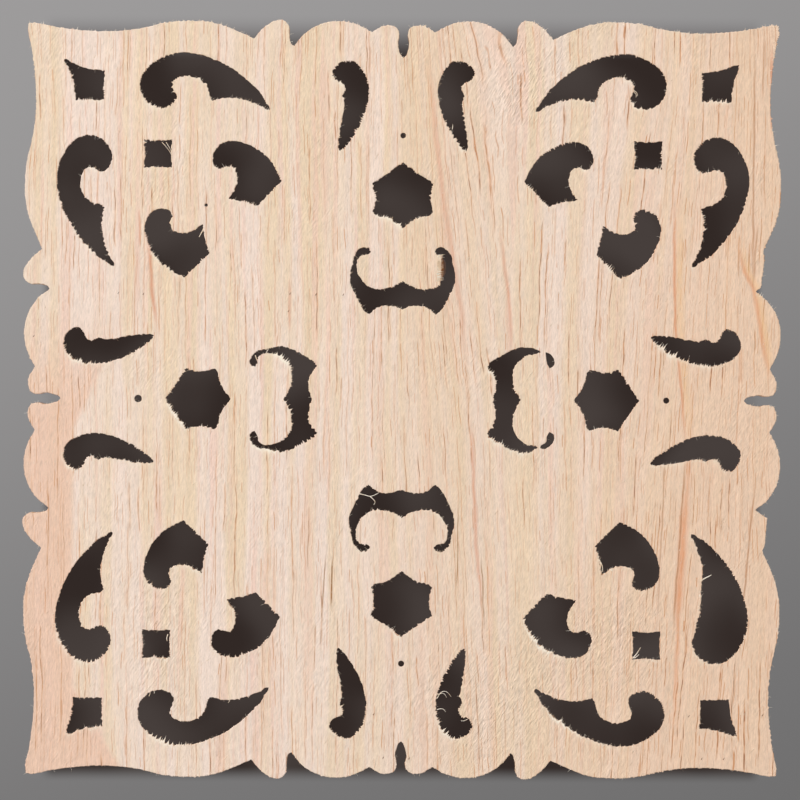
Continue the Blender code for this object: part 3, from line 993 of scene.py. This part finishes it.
def bristle_tree():
    """Node tree that grows a tapering, gently curled bristle from every guide point."""
    tree = bpy.data.node_groups.new("bristles", "GeometryNodeTree")
    kinds = {"Guides": "Geometry", "Bend": "Float", "Curl": "Float", "Sides": "Int", "Finish": "Material"}
    for name, kind in kinds.items():
        tree.interface.new_socket(name, in_out="INPUT", socket_type="NodeSocket" + kind)
    tree.interface.new_socket("Bristles", in_out="OUTPUT", socket_type="NodeSocketGeometry")
    guides = Wire(tree.nodes.new("NodeGroupInput").outputs["Guides"])
    lean, reach, girth = (
        guides.node("GeometryNodeInputNamedAttribute", {"data_type": kind}, {"Name": name})
        for name, kind in (("lean", "FLOAT_VECTOR"), ("reach", "FLOAT"), ("girth", "FLOAT"))
    )
    line = guides.node("GeometryNodeCurvePrimitiveLine", {}, {"End": (0.0, 0.0, 1.0)})
    line = line.node("GeometryNodeResampleCurve", {}, {"Curve": line, "Count": WHISKER_STEPS})
    turn = lean.node("FunctionNodeAlignRotationToVector", {"axis": "Z"}, {"Vector": lean})
    size = reach.node("ShaderNodeCombineXYZ", {}, {0: 1.0, 1: 1.0, 2: reach})
    inputs = {"Points": guides, "Instance": line, "Rotation": turn, "Scale": size}
    strands = guides.node("GeometryNodeInstanceOnPoints", {}, inputs)
    strands = strands.node("GeometryNodeRealizeInstances", {}, {"Geometry": strands})
    along = strands.node("GeometryNodeSplineParameter")
    place = strands.node("GeometryNodeInputPosition")
    curl = place.node("ShaderNodeTexNoise", {}, {"Vector": place, "Scale": guides.also("Curl")}, "Color")
    offset = curl.vector("SUBTRACT", {1: (0.5, 0.5, 0.5)})
    offset = offset.vector("SCALE", {"Scale": along * along * guides.also("Bend")})
    strands = strands.node("GeometryNodeSetPosition", {}, {"Geometry": strands, "Offset": offset})
    inputs = {"Resolution": guides.also("Sides"), "Radius": 1.0}
    ring = guides.node("GeometryNodeCurvePrimitiveCircle", {}, inputs)
    thickness = girth * (1.0 - WHISKER_TAPER * along)
    inputs = {"Curve": strands, "Profile Curve": ring, "Scale": thickness, "Fill Caps": True}
    tubes = strands.node("GeometryNodeCurveToMesh", {}, inputs)
    tubes = tubes.node("GeometryNodeRealizeInstances", {}, {"Geometry": tubes})
    tubes = tubes.node("GeometryNodeSetMaterial", {}, {"Geometry": tubes, "Material": guides.also("Finish")})
    tubes.to(tree.nodes.new("NodeGroupOutput"), "Bristles")
    return tree


def grow(name, tree, guides, bend, curl, finish):
    """Grow bristles from rows of (x, y, z, lean x, y, z, reach, girth) in millimetres."""
    guides = np.array(guides)
    mesh = bpy.data.meshes.new(name + "_guides")
    mesh.from_pydata((guides[:, :3] * MM).tolist(), [], [])
    mesh.attributes.new("lean", "FLOAT_VECTOR", "POINT").data.foreach_set("vector", guides[:, 3:6].ravel())
    for column, attribute in ((6, "reach"), (7, "girth")):
        mesh.attributes.new(attribute, "FLOAT", "POINT").data.foreach_set("value", guides[:, column] * MM)
    roots = bpy.data.objects.new(name + "_guides", mesh)
    bpy.context.collection.objects.link(roots)
    grower = roots.modifiers.new("bristles", "NODES")
    grower.node_group = tree
    wanted = {"Bend": bend * MM, "Curl": curl / MM, "Sides": WHISKER_SIDES, "Finish": finish}
    for socket in tree.interface.items_tree:
        if socket.name in wanted:
            grower[socket.identifier] = wanted[socket.name]
    bpy.context.view_layer.update()
    grown = bpy.data.meshes.new_from_object(roots.evaluated_get(bpy.context.evaluated_depsgraph_get()))
    bpy.data.objects.remove(roots)
    places = np.zeros(len(grown.vertices) * 3)
    grown.vertices.foreach_get("co", places)
    places = np.clip(places.reshape(-1, 3), cad_low, cad_high)
    grown.vertices.foreach_set("co", places.ravel())
    grown.shade_smooth()
    add_piece(name, grown, finish)


def whisker_guides():
    """Roots of the fibres that the saw tore out of the front edges, and how each lies.
    Stout splinters crowd the frayed stretches, a few thin whiskers stand elsewhere, and
    a comb of thick fibres stands over the chip."""
    found = []
    for ring, flat in zip(rings, fine_levels[-1][1]):
        luck = chance.random(len(flat))
        for i in np.flatnonzero(luck < WHISKER_OFTEN + SPLINTER_OFTEN * ring.fray * ring.ease):
            stout = luck[i] > WHISKER_OFTEN
            shape = chance.random(7)
            short, long = SPLINTER_REACH if stout else WHISKER_REACH
            reach = short + (long - short) * shape[0] ** MOSTLY_SHORT
            thin, thick = SPLINTER_GIRTH if stout else WHISKER_GIRTH
            girth = thin + (thick - thin) * shape[1]
            root_share = 1.0 if stout else WHISKER_ROOT_SHARE
            root = SPLINTER_ROOT[0] + (SPLINTER_ROOT[1] - SPLINTER_ROOT[0]) * shape[2] * root_share
            buried = shape[4] > ON_FACE_CHANCE or not stout
            depth = FACE_LEVEL + (BURIED * shape[3] ** MOSTLY_SHALLOW if buried else -SKIN)
            combed = SPLINTER_COMBED if stout else WHISKER_COMBED
            way = ring.air[i] + FRAYED_WAY * combed + (shape[5:7] - 0.5) * WHISKER_STRAY
            way = way / np.linalg.norm(way)
            foot = flat[i] - way * min(root, ROOT_IN_WOOD * ring.body[i])
            lean = (way[0], WHISKER_DROOP * shape[3], way[1])
            found.append((foot[0], depth, foot[1], *lean, reach + root, girth))
        for i in np.flatnonzero(ring.chip > COMB_FROM):
            foot = flat[i] + (-COMB_ROOT, chance.normal(0.0, COMB_SHAKE))
            lean = (1.0, COMB_LIFT, chance.normal(*COMB_LEAN))
            reach = COMB_ROOT + chance.uniform(*COMB_REACH)
            found.append((foot[0], FACE_LEVEL - SKIN, foot[1], *lean, reach, COMB_GIRTH))
    return found


pale_fibre = fibre_finish("pale_fibre")
bristles = bristle_tree()
grow("torn_fibres", bristles, whisker_guides(), WHISKER_BEND, WHISKER_CURL, pale_fibre)


# Raised grain. Where the blade and the planer tore at it, the face is fuzzy: short
# fibres still rooted in the wood lie over it at a slant. They are thickest near the top,
# right of the middle, and beside the inner scrolls of both lower corners.
NAP_COUNT = 4200
NAP_REACH = (0.25, 0.8)
NAP_GIRTH = (0.014, 0.03)
NAP_LEAN = (0.55, 0.3)
NAP_LIFT = (-0.03, 0.0)
NAP_SHAKE = 0.15
NAP_BASE = 0.35
NAP_IN_PATCHES = 2.0
NAP_BY_FRAY = 2.5
NAP_FRAY_REACH = 1.1
NAP_BEND = 0.12
NAP_CURL = 0.8


def nap_guides():
    """Roots of the raised fibres of the face, most of them in the fuzzy patches and
    behind the frayed edges."""
    patchy = np.full(len(face_points), NAP_BASE)
    for x, z, across, along in FUZZY_PATCHES:
        away = (face_points - (x, z)) / (across, along)
        patchy += np.exp(-(away[:, 0] ** 2) - away[:, 1] ** 2) * NAP_IN_PATCHES
    for number, (x, z) in enumerate(face_points):
        _, nearest, away = edge_tree.find((x, z, 0.0))
        ring, i = edge_owners[nearest]
        patchy[number] += NAP_BY_FRAY * ring.fray[i] * max(0.0, 1.0 - away / NAP_FRAY_REACH)
    picked = chance.choice(len(face_points), NAP_COUNT, replace=False, p=patchy / patchy.sum())
    found = []
    for x, z in face_points[picked] + chance.uniform(-NAP_SHAKE, NAP_SHAKE, (NAP_COUNT, 2)):
        lean = (chance.normal(*NAP_LEAN), chance.uniform(*NAP_LIFT), 1.0)
        size = (chance.uniform(*NAP_REACH), chance.uniform(*NAP_GIRTH))
        found.append((x, FACE_LEVEL + SKIN, z, *lean, *size))
    return found


grow("raised_grain", bristles, nap_guides(), NAP_BEND, NAP_CURL, pale_fibre)


# Loose hairs and splinters. These are the few long ones that the saw left hanging in
# the piercings, each with its own bends, held at one end or caught across a gap.
HAIR_BEVEL = 1
HAIR_STEPS = 5
HAIR_STOUTNESS = 1.5
HAIR_TAPER = 0.55
HAIR_SINK = 0.06
# Each hair: its radius, the depth of its near end and its (x, z) points in millimetres.
HAIRS = (
    (0.045, -5.85, ((-5.6, -12.4), (-4.9, -12.55), (-4.14, -12.8), (-3.5, -12.55), (-2.9, -12.2))),
    (0.04, -5.85, ((-4.2, -12.75), (-3.75, -13.1), (-3.43, -13.55), (-3.7, -13.85))),
    (0.07, -5.9, ((39.3, -23.75), (39.9, -23.35), (40.35, -23.15), (40.8, -22.9))),
    (0.05, -5.9, ((39.2, -25.5), (39.5, -26.1), (39.2, -27.0), (39.1, -28.0), (39.4, -28.45))),
    (0.035, -5.8, ((-17.55, 6.75), (-17.8, 6.3), (-18.1, 5.85))),
    (0.05, -5.7, ((-19.35, 5.75), (-19.2, 5.2), (-18.9, 4.65))),
    (0.03, -5.7, ((-31.75, 33.75), (-31.1, 33.1), (-30.6, 32.3), (-30.3, 31.7))),
    (0.03, -5.75, ((-31.2, 33.75), (-30.7, 33.0), (-30.4, 32.2), (-30.25, 31.4))),
    (0.06, -5.8, ((-26.0, 23.1), (-26.2, 22.4), (-26.6, 21.7), (-26.8, 21.3))),
    (0.055, -5.8, ((-26.1, 22.9), (-26.05, 22.2), (-26.15, 21.6), (-26.0, 21.1))),
    (0.04, -5.85, ((30.3, 41.0), (30.25, 40.6), (30.75, 40.3), (30.6, 39.9))),
    (0.035, -5.85, ((30.3, 40.8), (30.9, 40.5), (30.8, 40.1))),
    (0.035, -5.9, ((6.45, 35.6), (6.52, 35.9), (6.5, 36.25))),
    (0.045, -5.8, ((-30.7, -31.0), (-30.95, -31.5), (-30.8, -31.95))),
    (0.045, -5.85, ((-33.1, -38.3), (-32.9, -38.7), (-33.2, -39.2))),
    (0.04, -5.85, ((-32.6, -38.25), (-32.4, -38.55), (-32.5, -38.8))),
    (0.035, -5.85, ((-22.6, -39.5), (-22.5, -39.75), (-22.75, -40.0))),
    (0.035, -5.85, ((-19.8, -38.5), (-19.85, -38.9), (-20.1, -39.3))),
    (0.055, -5.8, ((30.2, -34.2), (30.75, -33.6), (31.1, -33.2), (31.5, -32.5))),
    (0.05, -5.8, ((30.4, -33.9), (30.9, -33.9), (31.3, -33.4))),
    (0.035, -5.8, ((4.75, -39.3), (5.1, -38.6), (5.6, -38.3), (6.2, -38.5), (6.6, -39.1))),
    (0.03, -5.8, ((4.7, -38.9), (5.3, -38.55), (5.8, -38.7), (6.0, -39.2))),
    (0.035, -5.8, ((4.7, -40.8), (5.2, -40.6), (5.7, -40.75), (5.9, -41.1))),
    (0.035, -5.8, ((8.75, -42.0), (8.4, -42.3), (7.9, -42.25))),
    (0.1, -5.8, ((25.9, -20.9), (26.25, -21.5), (26.1, -22.2), (26.4, -23.0))),
    (0.05, -5.85, ((26.2, -21.3), (26.55, -21.9), (26.45, -22.6))),
)


def lay_threads(name, routes, sink, finish):
    """Thin round threads through their points as one piece, thinner towards their far
    ends and deeper by the sink from point to point."""
    threads = bpy.data.curves.new(name, "CURVE")
    threads.dimensions = "3D"
    threads.bevel_depth = MM
    threads.bevel_resolution = HAIR_BEVEL
    threads.resolution_u = HAIR_STEPS
    threads.use_fill_caps = True
    for radius, depth, route in routes:
        spline = threads.splines.new("NURBS")
        spline.points.add(len(route) - 1)
        spline.use_endpoint_u = True
        spline.order_u = 3
        for i, (point, (x, z)) in enumerate(zip(spline.points, route)):
            point.co = (x * MM, (depth + sink * i) * MM, z * MM, 1.0)
            point.radius = HAIR_STOUTNESS * radius * (1.0 - HAIR_TAPER * i / (len(route) - 1))
    holder = bpy.data.objects.new(name + "_curves", threads)
    mesh = bpy.data.meshes.new_from_object(holder)
    bpy.data.objects.remove(holder)
    closed = bmesh.new()
    closed.from_mesh(mesh)
    bmesh.ops.remove_doubles(closed, verts=closed.verts[:], dist=CLOSE_POINTS)
    for vert in closed.verts:
        vert.co.y = max(vert.co.y, cad_low.y)
    closed.to_mesh(mesh)
    closed.free()
    add_piece(name, mesh, finish)


lay_threads("loose_hairs", HAIRS, HAIR_SINK, pale_fibre)


# Nicks. These are the short dark marks of torn and bruised fibre on the face, in rows
# across the board. Each is a dark sliver of fibre that lies in the surface.
NICK_BROWN = paint(128, 88, 62)
NICK_GIRTH = 0.04
NICK_DEPTH = -5.93
NICK_LEAN = (0.08, 0.13)
NICK_ROUGHNESS = 0.85
NICKS = (
    (-37.4, 13.9), (-34.1, 13.8), (-14.8, 13.9), (-11.4, 13.8), (-7.8, 13.8), (-48.5, 8.2), (-15.0, 11.6),
    (37.9, -41.5), (47.6, -41.3), (-3.6, -41.4), (39.6, -47.1), (42.5, -47.1), (1.1, -47.2), (-2.3, -47.1),
)

slivers = []
for x, z in NICKS:
    across, up = NICK_LEAN
    slivers.append((NICK_GIRTH, NICK_DEPTH, ((x - across, z - up), (x, z), (x + across, z + up))))
nick_material, nick_shader, _ = new_material("bruised_fibre")
nick_shader.inputs["Base Color"].default_value = NICK_BROWN
nick_shader.inputs["Roughness"].default_value = NICK_ROUGHNESS
lay_threads("dark_nicks", slivers, 0.0, nick_material)
